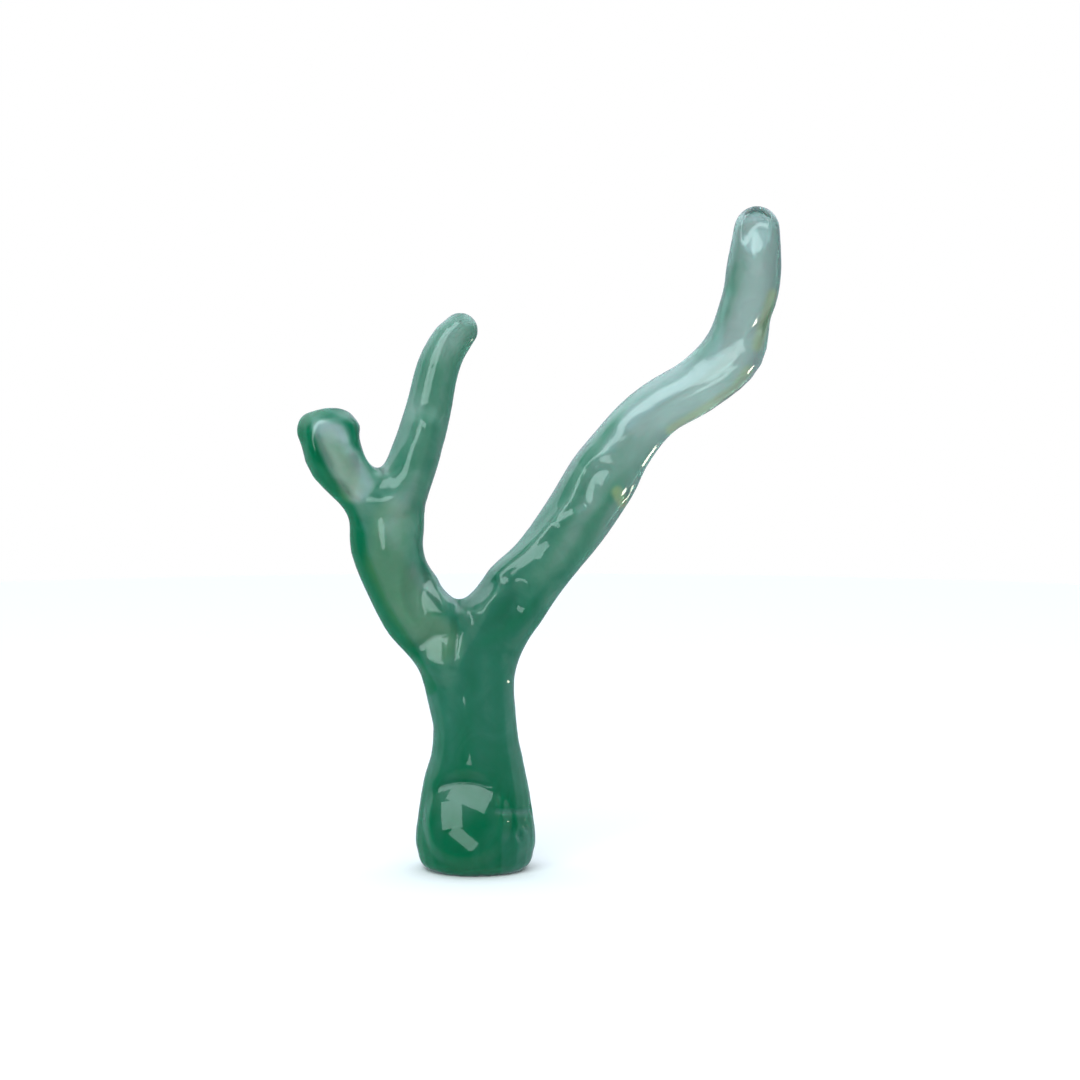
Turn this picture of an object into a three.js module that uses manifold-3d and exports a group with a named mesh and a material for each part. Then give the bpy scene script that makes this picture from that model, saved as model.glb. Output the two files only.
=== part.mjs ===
// A hand-formed ornament of translucent green glass in the shape of a staghorn coral.
//
// One stem rises from a flared foot with a flat base and forks twice. At the first fork a long
// branch leaves to the right and a stout limb to the left. At the second fork the limb carries a
// short blunt knob and a longer bent finger. The glass is one continuous piece; it is divided here
// at the two forks, so each limb can be handled as a solid of its own.
//
// Millimetres, +Z up, +X towards the long branch's tip, -Y towards the front.
// The origin is the centre of the flat base.

import * as THREE from "three";
import { mergeVertices } from "three/addons/utils/BufferGeometryUtils.js";
import Module from "manifold-3d";

const wasm = await Module();
wasm.setup();

// ---- Driving dimensions -------------------------------------------------------------------------

const TRUNK_HALF_WIDTH = 13.9; // the neck, at its narrowest
const LONG_HALF_WIDTH = 9.2;
const LIMB_HALF_WIDTH = 11.7;
const KNOB_HALF_WIDTH = 7.6;
const FINGER_HALF_WIDTH = 7.7;

const DEPTH_SHARE = 0.9; // front-to-back thickness of a limb beside its width
const FOOT_EDGE_RADIUS = 5.2; // rounding between the flat base and the flared side
const FOOT_WIDTH_SHARE = 1.38; // half-width where that rounding ends, as a share of the neck's
const CUT_GAP = 0.3; // left between neighbouring solids at a fork
const RING_STEP = 3.7; // distance between sections along a limb
const RING_SIDES = 24;
const CAP_RINGS = 5; // sections in a rounded end
const MELT_PASSES = 9; // how often the surface at a fork is eased

// ---- Materials ----------------------------------------------------------------------------------

function glass(color, roughness) {
  return new THREE.MeshStandardMaterial({ color, roughness, metalness: 0 });
}

const deepGreen = glass(0x1f7254, 0.08);
const midGreen = glass(0x4f8c72, 0.08);
const paleGreen = glass(0x8fb9ac, 0.08);

// ---- Limbs: sections swept along a curve --------------------------------------------------------

// A section's centre, and its half-width and half-depth as shares of the limb's own half-width.
function section(x, y, z, width, depth = width * DEPTH_SHARE) {
  return { centre: new THREE.Vector3(x, y, z), size: new THREE.Vector3(width, depth, 0) };
}

// The curve through the sections' centres, and the matching curve of their sizes.
function limbCurves(halfWidth, sections) {
  const through = (points) => new THREE.CatmullRomCurve3(points, false, "centripetal");
  return {
    centres: through(sections.map((s) => s.centre)),
    sizes: through(sections.map((s) => s.size.clone().multiplyScalar(halfWidth))),
  };
}

// One ring of points: an ellipse whose width lies in the plane of the fork.
function ring(centre, tangent, width, depth) {
  const front = new THREE.Vector3(0, 1, 0);
  const across = new THREE.Vector3().crossVectors(front, tangent).normalize();
  const through = new THREE.Vector3().crossVectors(tangent, across).normalize();
  return Array.from({ length: RING_SIDES }, (_, i) => {
    const angle = (2 * Math.PI * i) / RING_SIDES;
    return centre
      .clone()
      .addScaledVector(across, width * Math.cos(angle))
      .addScaledVector(through, depth * Math.sin(angle));
  });
}

// Rings that close a limb's end. The end stands `length` proud of its last section and keeps a
// flat of (1 - round) of that section's size. sign is +1 at the limb's tip and -1 at its start.
function endRings(centre, tangent, size, { length, round = 1 }, sign) {
  const rings = [];
  for (let i = 1; i <= CAP_RINGS; i++) {
    const angle = (Math.PI / 2) * (i / CAP_RINGS);
    const share = 1 - round * (1 - Math.cos(angle));
    const at = centre.clone().addScaledVector(tangent, sign * length * Math.sin(angle));
    const last = i === CAP_RINGS && round === 1;
    rings.push(last ? [at] : ring(at, tangent, size.x * share, size.y * share));
  }
  return rings;
}

// A closed surface through the rings, in order. An end ring of one point is a pole; any other end
// is closed with a flat fan.
function skin(rings) {
  const closed = [...rings];
  const middle = (points) =>
    points.reduce((sum, p) => sum.add(p), new THREE.Vector3()).divideScalar(points.length);
  if (closed[0].length > 1) closed.unshift([middle(closed[0])]);
  if (closed.at(-1).length > 1) closed.push([middle(closed.at(-1))]);

  const positions = [];
  const triangle = (a, b, c) => positions.push(...a, ...b, ...c);
  for (let k = 0; k + 1 < closed.length; k++) {
    const [lower, upper] = [closed[k], closed[k + 1]];
    for (let i = 0; i < RING_SIDES; i++) {
      const j = (i + 1) % RING_SIDES;
      if (lower.length === 1) triangle(lower[0], upper[j], upper[i]);
      else if (upper.length === 1) triangle(lower[i], lower[j], upper[0]);
      else {
        triangle(lower[i], lower[j], upper[j]);
        triangle(lower[i], upper[j], upper[i]);
      }
    }
  }
  return new THREE.BufferGeometry().setAttribute(
    "position",
    new THREE.Float32BufferAttribute(positions, 3),
  );
}

// The whole limb, with a rounded end at its start, its tip or both.
function limb({ centres, sizes }, { start, tip }) {
  const steps = Math.max(4, Math.round(centres.getLength() / RING_STEP));
  const rings = [];
  for (let k = 0; k <= steps; k++) {
    // Equal steps along the limb, turned back into the parameter that both curves share.
    const t = centres.getUtoTmapping(k / steps);
    const size = sizes.getPoint(t);
    rings.push(ring(centres.getPoint(t), centres.getTangent(t), size.x, size.y));
  }
  const end = (t, shape, sign) =>
    endRings(centres.getPoint(t), centres.getTangent(t), sizes.getPoint(t), shape, sign);
  if (start) rings.unshift(...end(0, start, -1).reverse());
  if (tip) rings.push(...end(1, tip, 1));
  return skin(rings);
}

// ---- Solids: joining and cutting ----------------------------------------------------------------

function solidOf(geometry) {
  const bare = new THREE.BufferGeometry();
  bare.setAttribute("position", geometry.getAttribute("position"));
  bare.setIndex(geometry.getIndex());
  const merged = mergeVertices(bare, 1e-4);
  return new wasm.Manifold(
    new wasm.Mesh({
      numProp: 3,
      vertProperties: merged.attributes.position.array,
      triVerts: new Uint32Array(merged.index.array),
    }),
  );
}

function union(...solids) {
  return solids.reduce((whole, part) => whole.add(part));
}

// The two sides of a cut square to a limb, at a share of its length, each half a gap away from it.
function cutAcross({ centres }, share) {
  const at = centres.getPointAt(share);
  const tangent = centres.getTangentAt(share);
  const side = (sign) => {
    const reach = 300; // larger than the ornament
    const block = new THREE.BoxGeometry(reach, reach, reach);
    const turn = new THREE.Quaternion().setFromUnitVectors(new THREE.Vector3(0, 0, 1), tangent);
    const centre = at.clone().addScaledVector(tangent, (sign * (reach + CUT_GAP)) / 2);
    block.applyMatrix4(new THREE.Matrix4().compose(centre, turn, new THREE.Vector3(1, 1, 1)));
    return solidOf(block);
  };
  return { below: side(-1), above: side(1) };
}

// The glass ran together at the forks, so near a fork the joined surface is eased: each point
// moves towards the average of its neighbours, fully at the fork and not at all at `reach`.
function melt(solid, { centre, reach }) {
  const { vertProperties, triVerts, numVert } = solid.getMesh();
  const points = Array.from({ length: numVert }, (_, i) =>
    new THREE.Vector3().fromArray(vertProperties, i * 3),
  );
  const neighbours = points.map(() => new Set());
  for (let i = 0; i < triVerts.length; i += 3) {
    const [a, b, c] = triVerts.subarray(i, i + 3);
    neighbours[a].add(b).add(c);
    neighbours[b].add(a).add(c);
    neighbours[c].add(a).add(b);
  }
  for (let pass = 0; pass < MELT_PASSES; pass++) {
    const eased = points.map((point, i) => {
      const share = 1 - THREE.MathUtils.smoothstep(point.distanceTo(centre), reach / 2, reach);
      if (share === 0) return point;
      const average = new THREE.Vector3();
      let total = 0;
      for (const j of neighbours[i]) {
        const weight = point.distanceTo(points[j]);
        average.addScaledVector(points[j], weight);
        total += weight;
      }
      return point.clone().lerp(average.divideScalar(total), share / 2);
    });
    eased.forEach((point, i) => (points[i] = point));
  }
  const positions = points.flatMap((point) => point.toArray());
  return new wasm.Manifold(
    new wasm.Mesh({ numProp: 3, vertProperties: new Float32Array(positions), triVerts }),
  );
}

function meshOf(name, solid, material) {
  const { vertProperties, triVerts, numProp, numVert } = solid.getMesh();
  const positions = new Float32Array(numVert * 3);
  for (let i = 0; i < numVert; i++)
    positions.set(vertProperties.subarray(i * numProp, i * numProp + 3), i * 3);
  const geometry = new THREE.BufferGeometry();
  geometry.setAttribute("position", new THREE.BufferAttribute(positions, 3));
  geometry.setIndex(new THREE.BufferAttribute(triVerts, 1));
  geometry.computeVertexNormals();
  const mesh = new THREE.Mesh(geometry, material);
  mesh.name = name;
  return mesh;
}

// ---- The coral's limbs --------------------------------------------------------------------------

// From the foot's widest level to the first fork. The flat base lies at z = 0.
const trunkCurves = limbCurves(TRUNK_HALF_WIDTH, [
  section(0, 0, FOOT_EDGE_RADIUS, FOOT_WIDTH_SHARE, 1.3),
  section(0, 0, 9.8, 1.45, 1.34),
  section(0, 0, 15, 1.41, 1.29),
  section(0, 0, 22, 1.34, 1.2),
  section(0.1, 0, 29.5, 1.25, 1.1),
  section(0.3, 0, 36, 1.13, 1),
  section(0.1, 0, 42, 1.04, 0.94),
  section(-0.2, 0, 49, 1, 0.91),
  section(-1.3, 0, 57, 1.04, 0.9),
  section(-2.3, 0, 63.5, 1.1, 0.87),
  section(-3, -0.4, 71, 1.1, 0.82),
]);

// The long branch: thick past the fork, bent outwards, then upright at its tip.
const longCurves = limbCurves(LONG_HALF_WIDTH, [
  section(0, 0, 51.5, 1.44, 1.3),
  section(0.8, 0, 60.5, 1.3, 1.25),
  section(3.2, 0, 70.5, 1.23, 1.22),
  section(6.4, 0, 79.8, 1.29, 1.2),
  section(10.9, 1, 88.6, 1.37, 1.2),
  section(22.7, 4, 102.4, 1.17, 1.12),
  section(33.6, 7, 116.5, 1.24, 1.1),
  section(41.9, 9, 129.4, 1.28, 1.06),
  section(48.5, 10.5, 139.5, 1.13, 1),
  section(55.7, 11, 148.4, 1.05, 0.95),
  section(62, 11, 153.8, 1.01, 0.92),
  section(74.4, 9.5, 161.2, 1.03, 0.9),
  section(85.4, 6.5, 172, 1.12, 0.92),
  section(89.1, 4, 185.3, 0.96, 0.88),
  section(91, 2.5, 192, 0.99, 0.86),
  section(91.8, 1.5, 199.1, 0.99, 0.84),
  section(92.3, 0.5, 206, 0.91, 0.8),
  section(92.6, 0, 211.6, 0.83, 0.74),
]);

// The stout limb between the two forks.
const limbShape = limbCurves(LIMB_HALF_WIDTH, [
  section(-1.5, 0, 53.5, 1.12, 1),
  section(-3.9, -0.5, 62.6, 1.05, 0.98),
  section(-9.8, -1.5, 73.8, 0.99, 0.97),
  section(-18.6, -3.5, 85.9, 1.03, 0.94),
  section(-25.9, -5.5, 98.6, 0.95, 0.9),
  section(-28.4, -6.5, 106.3, 1, 0.88),
  section(-29.1, -7, 111.5, 1.06, 0.86),
  section(-29, -7.5, 117, 1.1, 0.8),
  section(-29.5, -8, 123, 0.9, 0.66),
]);

// The knob swells towards its blunt top.
const knobCurves = limbCurves(KNOB_HALF_WIDTH, [
  section(-31, -7.5, 114.8, 1.05),
  section(-35.2, -8.5, 124.2, 1.06),
  section(-41.1, -10.8, 131.9, 1.13),
  section(-45, -12.2, 137.5, 1.26, 1.14),
  section(-46.7, -12.9, 142.4, 1.26, 1.12),
  section(-47.3, -13, 147.2, 1.38, 1.04),
]);

const fingerCurves = limbCurves(FINGER_HALF_WIDTH, [
  section(-28.2, -7.5, 116.4, 1.23),
  section(-24.2, -6.5, 127.3, 1.22, 1.05),
  section(-21.3, -5.5, 133.5, 1.09, 1),
  section(-18.3, -3.5, 142.4, 1.04),
  section(-16.4, -1.8, 148.9, 1),
  section(-14.7, 0.2, 155.8, 0.96),
  section(-13.4, 2, 162.4, 0.93),
  section(-12.1, 3.2, 167.2, 0.91),
  section(-9.9, 4.6, 172.4, 0.87),
  section(-7.2, 5.6, 176.6, 0.84),
  section(-4.9, 6, 179.1, 0.76),
]);

// ---- Webs: the rounded bottoms of the two crotches ----------------------------------------------

const WEB_TAPER = 0.2; // how much thinner a web is where it sinks into the limbs

// An arc of a bar that hangs in a fork, leaning with it from front to back. Its inner side is the
// crotch's rounded bottom, and its ends are buried in the two limbs.
function web({ centre, innerRadius, bar, depth, lean, from, to }) {
  const count = 7;
  const radius = innerRadius + bar;
  const sections = Array.from({ length: count }, (_, i) => {
    const share = i / (count - 1);
    const angle = THREE.MathUtils.degToRad(THREE.MathUtils.lerp(from, to, share));
    const x = centre.x + radius * Math.cos(angle);
    const y = centre.y + lean * Math.cos(angle);
    const z = centre.z + radius * Math.sin(angle);
    const size = 1 - WEB_TAPER * (2 * share - 1) ** 2;
    return section(x, y, z, size, (size * depth) / bar);
  });
  const end = { length: bar * 0.6 };
  return limb(limbCurves(bar, sections), { start: end, tip: end });
}

const firstWeb = web({
  centre: new THREE.Vector3(-4.9, -1.4, 95),
  innerRadius: 4.3,
  bar: 9,
  depth: 9.6,
  lean: 2.6,
  from: 215,
  to: 325,
});
const secondWeb = web({
  centre: new THREE.Vector3(-31.3, -8.3, 138),
  innerRadius: 4.1,
  bar: 7,
  depth: 6.8,
  lean: 3,
  from: 205,
  to: 335,
});

// ---- Assembly -----------------------------------------------------------------------------------

const longCut = cutAcross(longCurves, 0.325);
const limbCut = cutAcross(limbShape, 0.56);
const knobCut = cutAcross(knobCurves, 0.7);
const fingerCut = cutAcross(fingerCurves, 0.42);

const longSolid = solidOf(limb(longCurves, { tip: { length: 8.3 } }));
const limbSolid = solidOf(limb(limbShape, { tip: { length: 9 } }));
const knobSolid = solidOf(limb(knobCurves, { tip: { length: 7.1 } }));
const fingerSolid = solidOf(limb(fingerCurves, { tip: { length: 5.8 } }));

// The foot's edge is rounded down to the flat base.
const footRound = FOOT_EDGE_RADIUS / (FOOT_WIDTH_SHARE * TRUNK_HALF_WIDTH);
const trunkTube = limb(trunkCurves, {
  start: { length: FOOT_EDGE_RADIUS, round: footRound },
  tip: { length: 17 },
});

const firstFork = { centre: new THREE.Vector3(-3, -1, 77), reach: 27 };
const secondFork = { centre: new THREE.Vector3(-30.5, -8, 122.5), reach: 18 };

const stem = union(solidOf(trunkTube), longSolid, limbSolid, solidOf(firstWeb));
const trunk = melt(stem, firstFork).intersect(longCut.below).intersect(limbCut.below);

const crown = union(limbSolid, knobSolid, fingerSolid, solidOf(secondWeb));
const leftLimb = melt(crown, secondFork)
  .intersect(limbCut.above)
  .intersect(knobCut.below)
  .intersect(fingerCut.below);

const coral = new THREE.Group();
coral.name = "staghorn_coral";
coral.add(
  meshOf("trunk", trunk, deepGreen),
  meshOf("long_branch", longSolid.intersect(longCut.above), paleGreen),
  meshOf("left_limb", leftLimb, midGreen),
  meshOf("knob", knobSolid.intersect(knobCut.above), midGreen),
  meshOf("finger", fingerSolid.intersect(fingerCut.above), midGreen),
);

export default coral;
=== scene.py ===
"""A hand-formed ornament of cloudy green glass in the shape of a staghorn coral.

The five CAD solids become one continuous skin: they are joined, remeshed and smoothed, and then
worked like hot glass, with flats, dents and ridges, and a chipped place on the foot.
Metres, +Z up, the front is -Y.
"""

import math

import bmesh
import bpy
import numpy as np
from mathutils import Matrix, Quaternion, Vector, noise

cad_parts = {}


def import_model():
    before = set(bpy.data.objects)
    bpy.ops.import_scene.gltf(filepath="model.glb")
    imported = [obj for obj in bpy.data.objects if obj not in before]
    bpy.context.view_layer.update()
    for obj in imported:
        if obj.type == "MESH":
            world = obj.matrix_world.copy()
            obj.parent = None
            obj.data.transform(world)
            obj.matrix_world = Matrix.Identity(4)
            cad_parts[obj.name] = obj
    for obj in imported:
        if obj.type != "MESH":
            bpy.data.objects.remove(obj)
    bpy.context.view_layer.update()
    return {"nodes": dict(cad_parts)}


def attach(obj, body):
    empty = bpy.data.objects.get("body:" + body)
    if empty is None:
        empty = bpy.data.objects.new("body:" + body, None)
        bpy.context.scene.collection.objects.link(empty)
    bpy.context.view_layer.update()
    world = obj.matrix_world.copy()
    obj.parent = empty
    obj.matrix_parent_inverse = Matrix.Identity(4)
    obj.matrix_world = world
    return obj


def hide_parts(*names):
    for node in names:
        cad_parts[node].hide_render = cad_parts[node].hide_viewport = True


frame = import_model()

MM = 0.001
VOXEL = 0.8 * MM  # grid of the remeshed skin
SWELL = 0.35 * MM  # closes the gaps between the CAD solids before they are joined
EVENING_ROUNDS = 90  # smoothing of the remeshed skin
SOFTENING_ROUNDS = 3  # smoothing of the finished shape
UNDERSIDE = 0.3 * MM  # skin below this height is the flat underside
BAND_DEPTH = 7 * MM  # a band does not reach through to skin further away than this
BAND_EVENING_ROUNDS = 12  # how often a band's move is averaged with its neighbours'
NODES = ("trunk", "left_limb", "knob", "finger", "long_branch")

CAMERA_ELEVATION = 5  # degrees
CAMERA_DISTANCE = 0.993
CAMERA_TARGET = Vector((21.5, 0, 110)) * MM

# The limbs' centre lines, mm. Streaks in the glass and waves in its surface run along them.
CENTRE_LINES = (
    ((-3, 0, 0), (-1, 0, 45), (-2, -1, 77)),
    ((-2, -1, 77), (-22, -6, 98), (-30, -8, 118)),
    ((-30, -8, 118), (-42, -9, 131), (-47, -12, 147)),
    ((-30, -8, 118), (-22, -8, 135), (-13, -5, 165), (-5, -3, 181)),
    ((-2, -1, 77), (20, 0, 98), (42, 3, 131), (56, 5, 152), (85, 4, 170), (92, 2, 190), (94, 0, 214)),
)


# ---- Directions --------------------------------------------------------------------------------


def direction(azimuth, elevation):
    """Unit vector out of the object. Azimuth 0 is the front (-Y) and 90 the right (+X)."""
    a, e = math.radians(azimuth), math.radians(elevation)
    return Vector((math.sin(a) * math.cos(e), -math.cos(a) * math.cos(e), math.sin(e)))


def smoothstep(low, high, value):
    """0 at `low`, 1 at `high` and a smooth rise between them."""
    share = np.clip((value - low) / (high - low), 0, 1)
    return share * share * (3 - 2 * share)


# ---- The skin: joined solids, remeshed and smoothed --------------------------------------------


def joined_solids():
    """One object that holds the CAD solids, swollen so that they overlap at the cuts."""
    whole = bmesh.new()
    for name in NODES:
        solid = bmesh.new()
        solid.from_mesh(frame["nodes"][name].data)
        bmesh.ops.remove_doubles(solid, verts=solid.verts, dist=0.002 * MM)
        solid.normal_update()
        for vert, normal in [(v, v.normal.copy()) for v in solid.verts]:
            vert.co += normal * SWELL
        part = bpy.data.meshes.new("part")
        solid.to_mesh(part)
        solid.free()
        whole.from_mesh(part)
        bpy.data.meshes.remove(part)
    mesh = bpy.data.meshes.new("coral_glass")
    whole.to_mesh(mesh)
    whole.free()
    obj = bpy.data.objects.new("coral_glass", mesh)
    bpy.context.collection.objects.link(obj)
    return obj


def remeshed(obj):
    """The object with its mesh rebuilt on a fine grid, as one closed skin."""
    grid = obj.modifiers.new("grid", "REMESH")
    grid.mode = "VOXEL"
    grid.voxel_size = VOXEL
    fine = bpy.data.meshes.new_from_object(obj.evaluated_get(bpy.context.evaluated_depsgraph_get()))
    obj.modifiers.clear()
    coarse, obj.data = obj.data, fine
    bpy.data.meshes.remove(coarse)
    fine.name = "coral_glass"
    return obj


class Skin:
    """The skin's points as arrays, with the moves that shape it."""

    def __init__(self, mesh):
        self.mesh = mesh
        count = len(mesh.vertices)
        self.co = np.empty(count * 3)
        mesh.vertices.foreach_get("co", self.co)
        self.co = self.co.reshape(-1, 3)
        edges = np.empty(len(mesh.edges) * 2, dtype=np.int64)
        mesh.edges.foreach_get("vertices", edges)
        self.a, self.b = edges.reshape(-1, 2).T
        self.degree = np.bincount(self.a, minlength=count) + np.bincount(self.b, minlength=count)

    def write(self):
        self.mesh.vertices.foreach_set("co", self.co.ravel())
        self.mesh.update()

    def normals(self):
        self.write()
        out = np.empty(len(self.co) * 3)
        self.mesh.vertices.foreach_get("normal", out)
        return out.reshape(-1, 3)

    def average(self, values):
        """The mean of each point's neighbours."""
        columns = []
        count = len(values)
        for column in values.T:
            total = np.bincount(self.a, weights=column[self.b], minlength=count)
            total += np.bincount(self.b, weights=column[self.a], minlength=count)
            columns.append(total / self.degree)
        return np.stack(columns, axis=1)

    def smooth(self, rounds, where=1.0):
        """Evens out what is smaller than a few millimetres and keeps the volume."""
        for _ in range(rounds):
            for step in (0.5, -0.53):
                self.co += step * where * (self.average(self.co) - self.co)

    def front_point(self, x, z):
        """The skin's point that is seen from the front at x, z (mm)."""
        gap = np.hypot(self.co[:, 0] - x * MM, self.co[:, 2] - z * MM)
        close = np.flatnonzero(gap < 1.5 * MM)
        return self.co[close[np.argmin(self.co[close, 1])]].copy()

    def facet(self, x, z, normal, reach, radius, sink=0.3 * MM, lean=0.0, stretch=1.0, edge=0.4):
        """Turns the skin around a front point towards a direction, and flattens it to a shallow
        dome of the given radius, whose top lies `sink` below the front point. It can be stretched
        along a line that leans to the right by some degrees from upright. It fades out between
        `edge` and all of its reach."""
        normal = np.array(normal)
        offset = self.co - (self.front_point(x, z) - sink * normal)
        height = offset @ normal
        axis = np.array((math.sin(math.radians(lean)), 0, math.cos(math.radians(lean))))
        lengthwise = offset @ axis
        offset = offset - (1 - 1 / stretch) * lengthwise[:, None] * axis
        gap = np.linalg.norm(offset, axis=1)
        dome = -np.maximum(gap**2 - height**2, 0) / (2 * radius)
        share = 1 - smoothstep(edge * reach, reach, gap)
        self.co -= (share * (height - dome))[:, None] * normal

    def band(self, places, normal, reach, radius, level=0.5):
        """Like a facet, but along a line on the front: a shallow, rounded band whose crest keeps
        only a share (`level`) of the line's ups and downs along the direction."""
        normal = np.array(normal)
        crest = np.array([self.front_point(x, z) for x, z in rounded(places)])
        rise = crest @ normal
        crest -= ((1 - level) * (rise - rise.mean()))[:, None] * normal
        steps = np.linalg.norm(np.diff(crest, axis=0), axis=1)
        walked = np.concatenate(([0], np.cumsum(steps))) / steps.sum()
        best = np.full(len(self.co), np.inf)
        drop = np.zeros(len(self.co))
        along = np.zeros(len(self.co))
        for start, end, before, after in zip(crest, crest[1:], walked, walked[1:]):
            run = end - start
            run_across = run - (run @ normal) * normal
            offset = self.co - start
            share = np.clip((offset @ run_across) / (run_across @ run_across), 0, 1)
            away = offset - share[:, None] * run
            height = away @ normal
            gap = np.sqrt(np.maximum((away**2).sum(axis=1) - height**2, 0))
            closer = gap < best
            best[closer] = gap[closer]
            drop[closer] = (height + gap**2 / (2 * radius))[closer]
            along[closer] = (before + share * (after - before))[closer]
        front = smoothstep(0.0, 0.4, -self.normals()[:, 1]) * (np.abs(drop) < BAND_DEPTH)
        ends = smoothstep(0, 0.12, along) * (1 - smoothstep(0.88, 1, along))
        move = front * ends * (1 - smoothstep(0.35 * reach, reach, best)) * drop
        for _ in range(BAND_EVENING_ROUNDS):
            move = self.average(move[:, None])[:, 0]
        self.co -= move[:, None] * normal

    def dent(self, centre, reach, depth):
        """Sinks the skin near a place, or raises it if the depth is negative."""
        gap = np.linalg.norm(self.co - np.array(centre), axis=1) / reach
        self.co -= (depth * np.exp(-2.5 * gap**2))[:, None] * self.normals()

    def ridge(self, points, width, amount):
        """A ridge along a line on the front, or a groove if the amount is negative."""
        normals = self.normals()
        front = smoothstep(0.0, 0.4, -normals[:, 1])
        rise = amount * front * np.exp(-((line_gap(self.co, points) / width) ** 2))
        self.co += rise[:, None] * normals

    def scoop(self, centre, radius):
        """A shell-shaped chip: what is inside a ball goes back to the ball's surface."""
        offset = self.co - np.array(centre)
        gap = np.linalg.norm(offset, axis=1)
        inside = gap < radius
        self.co[inside] += offset[inside] * (radius / gap[inside] - 1)[:, None]

    def chip(self, x, z, radius, depth):
        """A scoop of the given depth at a front point."""
        centre = self.front_point(x, z)
        nearest = np.argmin(np.linalg.norm(self.co - centre, axis=1))
        self.scoop(centre + self.normals()[nearest] * (radius - depth), radius)

    def waves(self, width, length, height, seed):
        """Shallow waves on the front and back that run along the limbs, as drawn glass keeps."""
        normals = self.normals()
        wave = along_limbs(self, width, length, seed) * np.abs(normals[:, 1])
        self.co += (height * wave)[:, None] * normals


def rounded(points):
    """A line of short steps with its corners cut."""
    for _ in range(2):
        inner = []
        for start, end in zip(points, points[1:]):
            start, end = np.array(start), np.array(end)
            inner += [0.75 * start + 0.25 * end, 0.25 * start + 0.75 * end]
        points = [points[0], *inner[1:-1], points[-1]]
    return points


def line_gap(co, points):
    """Distance of each point from a line through the given x, z places (mm), from the front."""
    flat = co[:, [0, 2]]
    gap = np.full(len(co), np.inf)
    for start, end in zip(points, points[1:]):
        start, end = np.array(start) * MM, np.array(end) * MM
        run = end - start
        share = np.clip((flat - start) @ run / (run @ run), 0, 1)
        gap = np.minimum(gap, np.linalg.norm(flat - start - share[:, None] * run, axis=1))
    return gap


def along_limbs(skin, width, length, seed):
    """Noise from about -1 to 1 that is drawn out along the limbs."""
    best = np.full(len(skin.co), np.inf)
    offset = np.zeros_like(skin.co)
    travel = np.zeros(len(skin.co))
    for line in CENTRE_LINES:
        walked = line[0][2] * MM
        for start, end in zip(line, line[1:]):
            start, end = np.array(start) * MM, np.array(end) * MM
            run = end - start
            share = np.clip((skin.co - start) @ run / (run @ run), 0, 1)
            away = skin.co - start - share[:, None] * run
            gap = np.linalg.norm(away, axis=1)
            closer = gap < best
            best[closer] = gap[closer]
            offset[closer] = away[closer]
            step = np.linalg.norm(run)
            travel[closer] = walked + share[closer] * step
            walked += step
    shift = Vector((seed * 7.3, seed * 3.1, seed * 5.7))
    lift = Vector((0.2, 0.3, 0.93))
    values = [
        noise.noise(Vector(o) / width + lift * (t / length) + shift) for o, t in zip(offset, travel)
    ]
    values = np.array(values)[:, None]
    for _ in range(4):
        values = skin.average(values)
    return values[:, 0] * 1.6


def at(x, y, z):
    """A place given in mm."""
    return Vector((x, y, z)) * MM


KEY_FROM = direction(-26, 27)  # the window's direction
TO_CAMERA = direction(0, CAMERA_ELEVATION)


def facing_window(turn=0.0, rise=0.0):
    """The normal of a flat that shows the window to the camera, turned a little."""
    half = (KEY_FROM + TO_CAMERA).normalized()
    azimuth = math.degrees(math.atan2(half.x, -half.y)) + turn
    elevation = math.degrees(math.asin(half.z)) + rise
    return direction(azimuth, elevation)


CARD_PLACE = at(285, 105, 5)  # a small light that lies on the floor, behind on the right


def facing_card(x, z):
    """The normal of a flat at x, z (mm) that shows that light to the camera."""
    return ((CARD_PLACE - at(x, 0, z)).normalized() + TO_CAMERA).normalized()


# Lines on the front that face the window: the fold that curves round under the second fork, and
# the flats along the long branch. x, z places (mm).
FORK_FOLD = (
    (-42, 137), (-39.6, 132.7), (-36.2, 128.8), (-30.7, 126.4), (-25.1, 127.6), (-21.7, 131.3),
    (-20, 136.1), (-18, 141.7), (-15.8, 148.6), (-14.2, 156),
)  # fmt: skip
FIRST_FLAT = ((7, 97.3), (10, 99.3), (16, 102.5), (22.5, 107))
LONG_FLAT = ((43, 143), (55, 153.5), (68.8, 159.5), (80.5, 165.3), (87.3, 173), (88.5, 184))
# The scar on the right side of the foot.
SCAR = ((7.5, 22.3), (12, 21.4), (17.5, 20.3))


def shape_knob(skin):
    """A flat front, a dented left flank and right shoulder, and a fuller left shoulder."""
    skin.facet(-45, 141, direction(10, 4), 11 * MM, 40 * MM, 0.8 * MM)
    skin.dent(at(-58, -10, 141), 6 * MM, 0.8 * MM)
    skin.dent(at(-37, -13, 152), 5 * MM, 0.8 * MM)
    skin.dent(at(-56, -13, 152), 5 * MM, -0.8 * MM)


def shape_foot(skin):
    """A broad, almost flat front."""
    skin.facet(-3.9, 20.5, facing_window(2, 3.5), 17 * MM, 47 * MM, -0.5 * MM, edge=0.7)


def shape_first_fork(skin):
    """Two flats beside the fork, and the valley that runs down from it, with a small fold."""
    skin.facet(-12.8, 92, facing_window(2, 2), 10 * MM, 20 * MM, lean=-35, stretch=1.6)
    skin.facet(-12.6, 74, facing_window(0, 2), 13 * MM, 34 * MM, lean=-20)
    skin.ridge([(-6, 91), (-6, 80), (-7, 70)], 1.5 * MM, -0.9 * MM)
    skin.ridge([(-5.4, 86.6), (-2.5, 87.4), (0.2, 86.8)], 0.9 * MM, 0.3 * MM)


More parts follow.
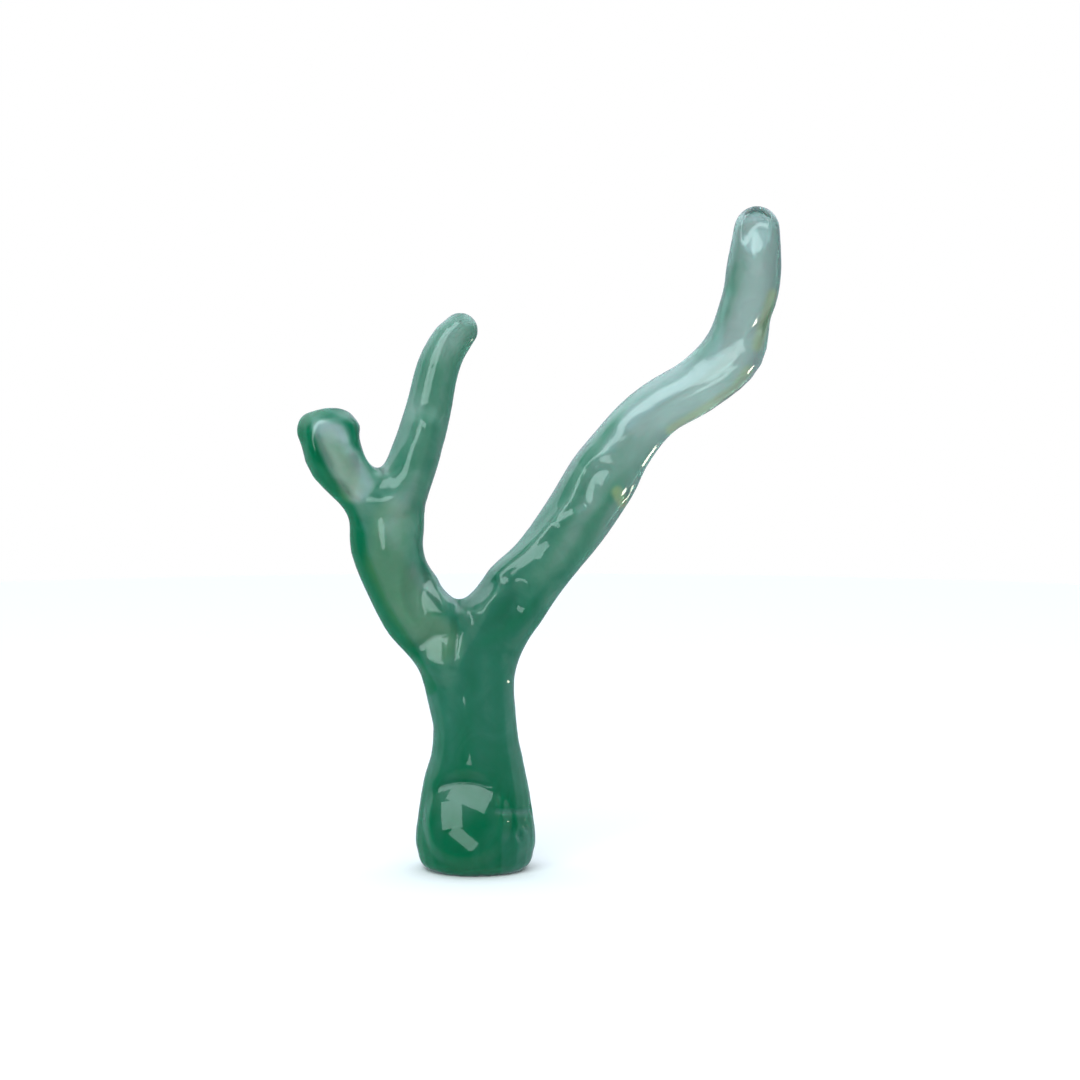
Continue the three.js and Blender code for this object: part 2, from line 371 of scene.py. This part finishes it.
def shape_second_fork(skin):
    """The fold that curves round under the fork, and a dent that widens the fork's bottom."""
    skin.band(FORK_FOLD, facing_window(), 6.5 * MM, 13 * MM, 0.3)
    skin.dent(at(-35, -9.5, 138), 5 * MM, 0.9 * MM)


def shape_long_branch(skin):
    """A sharp ridge near its upper side with flats beside it up to the tip, and two small facets
    on its right side that catch the low light from behind."""
    skin.ridge([(8, 99), (21, 111), (33, 124.5), (37, 131)], 1.6 * MM, 0.5 * MM)
    skin.facet(8.5, 90.5, direction(24, -4), 9 * MM, 18 * MM, 0.2 * MM, lean=50, stretch=1.4)
    skin.band(FIRST_FLAT, facing_window(), 8 * MM, 12 * MM, 0.3)
    skin.ridge([(41, 123), (34, 119.5), (28, 116)], 1.3 * MM, 0.5 * MM)
    skin.facet(41.5, 128, facing_window(3, 0), 8 * MM, 14 * MM, lean=20, stretch=1.7)
    skin.band(LONG_FLAT, facing_window(), 9 * MM, 20 * MM, 0.6)
    skin.facet(93.6, 209, facing_window(-3, 8), 7 * MM, 15 * MM, lean=2, stretch=1.8)
    skin.facet(50.5, 125.5, facing_card(50.5, 125.5), 3 * MM, 14 * MM, 0.1 * MM, lean=35)
    skin.facet(94.7, 183, facing_card(94.7, 183), 5 * MM, 16 * MM, 0.0, lean=24, stretch=2.2)


def damage_foot(skin):
    """The scar and three chips on the right side."""
    skin.ridge(SCAR, 0.8 * MM, -0.35 * MM)
    skin.scoop(at(21.4, -3, 21), 3.7 * MM)
    skin.chip(16.0, 13.3, 4 * MM, 0.5 * MM)
    skin.chip(18.0, 16.0, 2.5 * MM, 0.4 * MM)


def shape_skin(obj):
    """The object's skin, evened out and then worked like hot glass. Its underside stays flat."""
    skin = Skin(obj.data)
    skin.co -= SWELL * skin.normals()
    skin.smooth(EVENING_ROUNDS)
    skin.waves(10 * MM, 34 * MM, 0.4 * MM, 1)
    skin.waves(5 * MM, 30 * MM, 0.08 * MM, 2)
    shape_knob(skin)
    shape_foot(skin)
    shape_first_fork(skin)
    shape_second_fork(skin)
    shape_long_branch(skin)
    damage_foot(skin)
    skin.smooth(SOFTENING_ROUNDS)
    height = skin.co[:, 2]
    skin.co[:, 2] = np.where(height < UNDERSIDE, 0, height)
    skin.write()
    for polygon in obj.data.polygons:
        polygon.use_smooth = True
    return skin


# ---- Glass -------------------------------------------------------------------------------------


class Nodes:
    """Short names for building a node tree."""

    def __init__(self, tree):
        self.tree = tree
        tree.nodes.clear()

    def add(self, kind, inputs=None, **settings):
        node = self.tree.nodes.new(kind)
        for name, value in settings.items():
            setattr(node, name, value)
        for name, value in (inputs or {}).items():
            socket = node.inputs[name]
            if isinstance(value, bpy.types.NodeSocket):
                self.tree.links.new(value, socket)
            else:
                socket.default_value = value
        return node

    def math(self, operation, a, b=0.0, clamp=False):
        node = self.add("ShaderNodeMath", {0: a, 1: b}, operation=operation, use_clamp=clamp)
        return node.outputs[0]

    def rise(self, value, low, high):
        """0 below `low`, 1 above `high` and a smooth rise between them."""
        node = self.add(
            "ShaderNodeMapRange",
            {"Value": value, "From Min": low, "From Max": high},
            interpolation_type="SMOOTHSTEP",
        )
        return node.outputs[0]

    def mix(self, share, first, second):
        """A colour between two others."""
        node = self.add("ShaderNodeMix", {0: share, 6: first, 7: second}, data_type="RGBA")
        return node.outputs[2]

    def ramp(self, value, stops):
        node = self.add("ShaderNodeValToRGB", {"Fac": value})
        ramp = node.color_ramp
        ramp.interpolation = "LINEAR"
        while len(ramp.elements) < len(stops):
            ramp.elements.new(0.5)
        for element, (place, colour) in zip(ramp.elements, stops):
            element.position = place
            element.color = (*colour, 1)
        return node.outputs["Color"]


GLASS_TONES = (
    (0.0, (0.0, 0.15, 0.065)),
    (0.25, (0.035, 0.205, 0.13)),
    (0.5, (0.12, 0.31, 0.22)),
    (0.75, (0.29, 0.45, 0.395)),
    (1.0, (0.42, 0.54, 0.525)),
)
# The warm tone is used for the glass's warm tint and for the painted caustic glints.
WARM_AND_CAUSTIC_TONE = (0.55, 0.62, 0.28, 1)
WARM_AND_CAUSTIC_SHARE = 0.6  # how far the warmest place goes towards the warm tone
SPECK_TONE = (0.01, 0.04, 0.03, 1)
SPECK_CELLS = 60.0  # cells per metre with one dark speck in each; few of them reach the surface
SPECK_RADIUS = 0.35 * MM


def glass_colour(n, place):
    """The glass's colour: its tone by how pale it is, painted light included, with clouds, warm
    places, painted caustic glints and dark specks.
    """
    where = n.add("ShaderNodeTexCoord").outputs["Object"]
    cloud = n.add(
        "ShaderNodeTexNoise",
        {"Vector": where, "Scale": 75.0, "Detail": 4.0, "Roughness": 0.55, "Distortion": 1.0},
    ).outputs["Fac"]
    veiled = n.math("ADD", place, n.math("MULTIPLY", n.math("SUBTRACT", cloud, 0.5), 0.3), clamp=True)
    glass = n.ramp(veiled, GLASS_TONES)
    warmth_and_painted_caustics = n.add("ShaderNodeAttribute", attribute_name="warmth_and_painted_caustics").outputs["Fac"]
    glass = n.mix(n.math("MULTIPLY", warmth_and_painted_caustics, WARM_AND_CAUSTIC_SHARE), glass, WARM_AND_CAUSTIC_TONE)
    cells = n.add("ShaderNodeTexVoronoi", {"Vector": where, "Scale": SPECK_CELLS})
    speck = n.math("LESS_THAN", cells.outputs["Distance"], SPECK_RADIUS * SPECK_CELLS)
    return n.mix(speck, glass, SPECK_TONE)


def glass_material():
    """Cloudy glass under a smooth gloss, clearer where it is paler."""
    material = bpy.data.materials.new("cloudy_green_glass")
    material.use_nodes = True
    n = Nodes(material.node_tree)
    # How pale the glass is, with a painted highlight, reflection and shade among it. It also sets how
    # clear the glass is.
    place = n.add("ShaderNodeAttribute", attribute_name="paleness_and_painted_light").outputs["Fac"]
    colour = glass_colour(n, place)
    clear = n.math("ADD", n.math("MULTIPLY", place, 0.6), 0.2, clamp=True)
    shader = n.add(
        "ShaderNodeBsdfPrincipled",
        {
            "Base Color": colour,
            "Roughness": 0.12,
            "IOR": 1.5,
            "Specular IOR Level": 0.0,
            "Transmission Weight": clear,
            "Subsurface Weight": 1.0,
            "Subsurface Radius": (0.35, 1.0, 0.8),
            "Subsurface Scale": 5 * MM,
            "Coat Weight": 1.0,
            "Coat Roughness": 0.015,
            "Coat IOR": 1.5,
        },
    )
    absorb = n.add("ShaderNodeVolumeAbsorption", {"Color": (0.5, 0.78, 0.72, 1), "Density": 22.0})
    out = n.add("ShaderNodeOutputMaterial")
    n.tree.links.new(shader.outputs[0], out.inputs["Surface"])
    n.tree.links.new(absorb.outputs[0], out.inputs["Volume"])
    return material


def stroke(skin, points, inner, outer):
    """1 on a line, seen from the front, up to `inner` mm from it, and 0 from `outer` mm."""
    return 1 - smoothstep(inner * MM, outer * MM, line_gap(skin.co, points))


# Lines in the glass's colour, as x, z places (mm). Some of them are painted light, as marked.
# A deep green band along the left outline, from the knob down to the trunk.
LEFT_OUTLINE_BAND = (
    (-55.5, 149), (-52.3, 140), (-49.5, 133), (-46.2, 128), (-41.5, 121), (-38.6, 113), (-37.5, 107),
    (-35, 100), (-32, 92.5), (-28, 84), (-22, 74), (-16, 62),
)  # fmt: skip
KNOB_MIDDLE = ((-46.5, 146), (-44.5, 141), (-41, 135), (-38, 129))
KNOB_TOP = ((-50, 147.5), (-43, 146))
KNOB_RIM = ((-54, 150.5), (-50, 152.6), (-45, 151), (-40.5, 148), (-38.3, 143))
LIMB_MIDDLE = ((-25, 122), (-24, 105), (-18, 90))
LIMB_ARCH = ((-26.7, 115), (-26.7, 111))
# Painted shade along the groove in the valley below the first fork.
VALLEY_PAINTED_SHADE = ((-6.4, 91), (-6.8, 80), (-7.4, 70))
WEDGE = ((-7, 71), (0, 82), (5, 93.5))
# A painted highlight that widens the window's reflection along the long branch, and a darker stripe
# above it.
LONG_PAINTED_HIGHLIGHT = ((54, 147.5), (74, 159), (88.5, 169), (91, 179), (90.4, 186))
BAND_EDGE = ((36, 136), (50, 156), (68.5, 165), (80, 176.5), (83, 188), (87, 200))
# Warmer streaks in the knob and along the limb, and painted caustic glints where light gathers in
# the clear glass of the long branch.
KNOB_WARM = ((-46.5, 144), (-43.5, 138), (-41, 132), (-39.5, 127.5))
LIMB_WARM = ((-27, 118), (-28.5, 104), (-21, 89), (-11, 77))
# Painted caustic glints on the long branch.
PAINTED_CAUSTIC_LINES = (
    ((47, 126), (49, 122)),
    ((65, 146), (76, 153), (86, 160), (90, 166)),
    ((93, 174), (95.5, 184), (97.5, 191)),
)


def ground_paleness_and_edge_shade(skin, normals):
    """How pale and clear the glass is before its markings: deep in the foot and clear towards the
    long branch's tip, darker on the flanks by painted shade, and streaked along the limbs."""
    x, _, z = skin.co.T / MM
    along = ((x - 8) * 0.55 + (z - 88) * 0.83) / 155
    long_side = smoothstep(-8, 12, x - (z - 95) * 0.1)
    knob_side = smoothstep(-30, -36, x) * smoothstep(122, 132, z)
    pale_long = 0.24 + 0.76 * smoothstep(-0.1, 0.72, along)
    pale_left = 0.3 + 0.2 * smoothstep(80, 135, z) - 0.14 * knob_side
    pale_left += 0.2 * smoothstep(165, 178, z)
    pale_trunk = 0.26 * smoothstep(5, 70, z)
    pale = pale_left + (pale_long - pale_left) * long_side
    up = smoothstep(60, 90, z)
    pale = pale_trunk + (pale - pale_trunk) * up
    # Painted shade: the glass is made darker where the skin turns to the sides, as a longer path
    # through the glass looks from the front.
    flank = smoothstep(0.4, 1.0, np.abs(normals[:, 0]))
    clear_end = smoothstep(0.5, 0.9, along) * long_side
    pale -= (0.14 * up + 0.22 * clear_end) * flank
    pale += 0.2 * (0.4 + 0.6 * up) * along_limbs(skin, 4.5 * MM, 34 * MM, 5)
    return pale


def add_markings_and_painted_light(skin, pale, front):
    """The deep green band along the left outline, the knob's clear middle and the other markings,
    among them a painted highlight, a painted reflection and painted shade.
    """
    x, _, z = skin.co.T / MM
    pale -= 0.6 * stroke(skin, LEFT_OUTLINE_BAND, 1.4, 4.2)
    pale += 0.45 * stroke(skin, KNOB_MIDDLE, 3.6, 6.6)
    pale += 0.25 * stroke(skin, KNOB_TOP, 1.6, 4.6)
    pale -= 0.3 * stroke(skin, KNOB_RIM, 0.6, 3.0)
    pale += 0.1 * stroke(skin, LIMB_MIDDLE, 2, 7)
    pale += 0.12 * stroke(skin, LIMB_ARCH, 2.6, 3.6) * front
    # Painted shade in the valley's groove.
    pale -= 0.15 * stroke(skin, VALLEY_PAINTED_SHADE, 0.4, 2.0) * front
    pale += 0.12 * stroke(skin, WEDGE, 1.0, 2.4) * front
    # Painted highlight along the long branch.
    pale += 0.12 * stroke(skin, LONG_PAINTED_HIGHLIGHT, 2.4, 4.0)
    pale -= 0.2 * stroke(skin, BAND_EDGE, 1.2, 3.0)
    # A paler place low on the right of the foot, a painted reflection in a facet there,
    # and the pale scar above it.
    pale += 0.2 * smoothstep(8.4, 9.4, x) * (1 - smoothstep(13, 17, z)) * front
    pale += 0.25 * stroke(skin, SCAR, 0.3, 1.1) * front


def warm_tint_and_caustics_of(skin, front):
    """How warm the glass is: its warm tint, and painted caustic glints on the long branch."""
    warm = sum(stroke(skin, line, 0.6, 2.8) for line in PAINTED_CAUSTIC_LINES)
    warm += 0.35 * stroke(skin, KNOB_WARM, 1.2, 5)
    warm += 0.22 * stroke(skin, LIMB_WARM, 3, 9)
    return warm * front


def glass_layers(skin):
    """Stores on the skin how pale and how warm the glass is, painted highlight, reflection, shade and
    caustic glints included, for its material.
    """
    normals = skin.normals()
    front = smoothstep(0, 0.3, -normals[:, 1])
    pale = ground_paleness_and_edge_shade(skin, normals)
    add_markings_and_painted_light(skin, pale, front)
    for name, values in (("paleness_and_painted_light", pale), ("warmth_and_painted_caustics", warm_tint_and_caustics_of(skin, front))):
        layer = skin.mesh.attributes.new(name, "FLOAT", "POINT")
        layer.data.foreach_set("value", np.clip(values, 0, 1))


# ---- Stage -------------------------------------------------------------------------------------


def floor():
    """A plain pale disc. The gloss does not see it."""
    bpy.ops.mesh.primitive_circle_add(vertices=96, radius=1, fill_type="NGON")
    disc = bpy.context.object
    disc.name = "floor"
    disc.visible_glossy = False
    material = bpy.data.materials.new("floor")
    material.use_nodes = True
    n = Nodes(material.node_tree)
    shader = n.add("ShaderNodeBsdfDiffuse", {"Color": (0.97, 0.935, 0.93, 1)})
    out = n.add("ShaderNodeOutputMaterial")
    n.tree.links.new(shader.outputs[0], out.inputs["Surface"])
    disc.data.materials.append(material)


# The room that the gloss sees, from below to above: dim on the front's side, pale behind.
ROOM_FRONT = (
    (0.0, (0.35, 0.45, 0.42)),
    (0.3, (0.06, 0.08, 0.08)),
    (0.5, (0.07, 0.10, 0.10)),
    (0.72, (0.10, 0.14, 0.15)),
    (1.0, (1.2, 1.4, 1.5)),
)
ROOM_BACK = (
    (0.0, (0.16, 0.20, 0.22)),
    (0.48, (0.28, 0.34, 0.38)),
    (0.6, (0.55, 0.66, 0.75)),
    (0.75, (1.2, 1.35, 1.5)),
    (1.0, (1.4, 1.6, 1.75)),
)


def overhead(n, parts):
    """How strongly the gloss is dimmed: most overhead, not at all low down or at the sides."""
    high = n.rise(parts["Z"], 0.1, 0.4)
    side = n.math("ADD", n.math("MULTIPLY", n.math("ABSOLUTE", parts["X"]), 1.6), 0.2, clamp=True)
    return n.math("MULTIPLY", high, n.math("SUBTRACT", 1.0, side))


def world():
    """A white backdrop, seen past the object, and through it with dark flags at four corners. For
    all other light there is a room of its own, and the gloss sees it dimmed overhead."""
    sky = bpy.data.worlds.new("studio")
    bpy.context.scene.world = sky
    sky.use_nodes = True
    n = Nodes(sky.node_tree)
    ray = n.add("ShaderNodeTexCoord").outputs["Generated"]
    parts = n.add("ShaderNodeSeparateXYZ", {0: ray}).outputs
    path = n.add("ShaderNodeLightPath").outputs

    height = n.math("ADD", n.math("MULTIPLY", parts["Z"], 0.5), 0.5)
    behind = n.rise(parts["Y"], -0.04, 0.06)
    glow = n.mix(behind, n.ramp(height, ROOM_FRONT), n.ramp(height, ROOM_BACK))
    dimming = n.math("MULTIPLY", overhead(n, parts), path["Is Glossy Ray"])
    dimmed = n.math("SUBTRACT", 1.0, dimming)
    around = n.add("ShaderNodeBackground", {"Color": glow, "Strength": dimmed})

    turn = n.math("ARCTAN2", parts["Y"], parts["X"])
    flags = n.math("COSINE", n.math("MULTIPLY", turn, 4.0))
    backdrop = n.math("ADD", n.math("MULTIPLY", flags, 0.28), 0.7)
    through = n.add("ShaderNodeBackground", {"Color": (1, 1, 1, 1), "Strength": backdrop})
    past = n.add("ShaderNodeBackground", {"Color": (1, 1, 1, 1), "Strength": 1.0})

    first = n.add(
        "ShaderNodeMixShader",
        {0: path["Is Transmission Ray"], 1: around.outputs[0], 2: through.outputs[0]},
    )
    both = n.add(
        "ShaderNodeMixShader", {0: path["Is Camera Ray"], 1: first.outputs[0], 2: past.outputs[0]}
    )
    out = n.add("ShaderNodeOutputWorld")
    n.tree.links.new(both.outputs[0], out.inputs["Surface"])


def softbox(name, toward, distance, place, size, radiance, colour, spin=0.0, glossy=True):
    """A soft rectangular light that faces the object. Radiance is its brightness as seen, place
    is how far right and up its middle is from the line towards it, and spin turns it anticlockwise
    by some degrees, as seen from the object."""
    width, height = size
    light = bpy.data.lights.new(name, "AREA")
    light.shape = "RECTANGLE"
    light.size, light.size_y = width, height
    light.energy = radiance * width * height * math.pi
    light.color = colour
    lamp = bpy.data.objects.new(name, light)
    turn = toward.to_track_quat("Z", "Y")
    lamp.location = CAMERA_TARGET + toward * distance + turn @ Vector((*place, 0))
    roll = Quaternion((0, 0, 1), math.radians(spin))
    lamp.rotation_euler = (turn @ roll).to_euler()
    lamp.visible_camera = False
    lamp.visible_glossy = glossy
    bpy.context.collection.objects.link(lamp)


WINDOW_DISTANCE = 1.2
WINDOW_COLOUR = (0.78, 1.0, 0.98)
# Name, place, size, radiance and spin of each pane.
PANES = (
    ("pane_top", (0.04, 0.39), (0.78, 0.42), 3.1, -12),
    ("pane_left", (-0.2, 0.0), (0.38, 0.5), 3.1, 14),
    ("pane_low", (0.09, -0.4), (0.56, 0.22), 2.8, -33),
)


def window():
    """A window in three panes, with a dark lower right corner."""
    for name, place, size, radiance, spin in PANES:
        softbox(name, KEY_FROM, WINDOW_DISTANCE, place, size, radiance, WINDOW_COLOUR, spin)


def fill():
    """A broad, weak light from the front that the gloss does not see."""
    softbox("fill", direction(10, 35), 2.0, (0, 0), (2.5, 2.0), 0.8, (1, 1, 1), glossy=False)


CARD_SIZE = 0.07
CARD_RADIANCE = 10.0


def floor_card():
    """A small light that lies on the floor and faces up. It shows in the gloss only."""
    light = bpy.data.lights.new("floor_card", "AREA")
    light.size = CARD_SIZE
    light.energy = CARD_RADIANCE * CARD_SIZE**2 * math.pi
    light.color = (1.0, 0.98, 0.75)
    lamp = bpy.data.objects.new("floor_card", light)
    lamp.location = CARD_PLACE
    lamp.rotation_euler = (math.pi, 0, 0)
    lamp.visible_camera = False
    lamp.visible_diffuse = False
    lamp.visible_transmission = False
    bpy.context.collection.objects.link(lamp)


def camera():
    """A long lens that looks at the front from a little above."""
    data = bpy.data.cameras.new("camera")
    data.lens, data.sensor_width = 100, 36
    data.clip_start, data.clip_end = 0.01, 100
    obj = bpy.data.objects.new("camera", data)
    obj.location = CAMERA_TARGET + TO_CAMERA * CAMERA_DISTANCE
    obj.rotation_euler = TO_CAMERA.to_track_quat("Z", "Y").to_euler()
    bpy.context.collection.objects.link(obj)
    bpy.context.scene.camera = obj


# ---- Scene -------------------------------------------------------------------------------------

coral = remeshed(joined_solids())
glass_skin = shape_skin(coral)
glass_layers(glass_skin)
coral.data.materials.clear()
coral.data.materials.append(glass_material())
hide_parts(*NODES)
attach(coral, "root")

floor()
world()
window()
fill()
floor_card()
camera()
bpy.context.scene.view_settings.view_transform = "Standard"
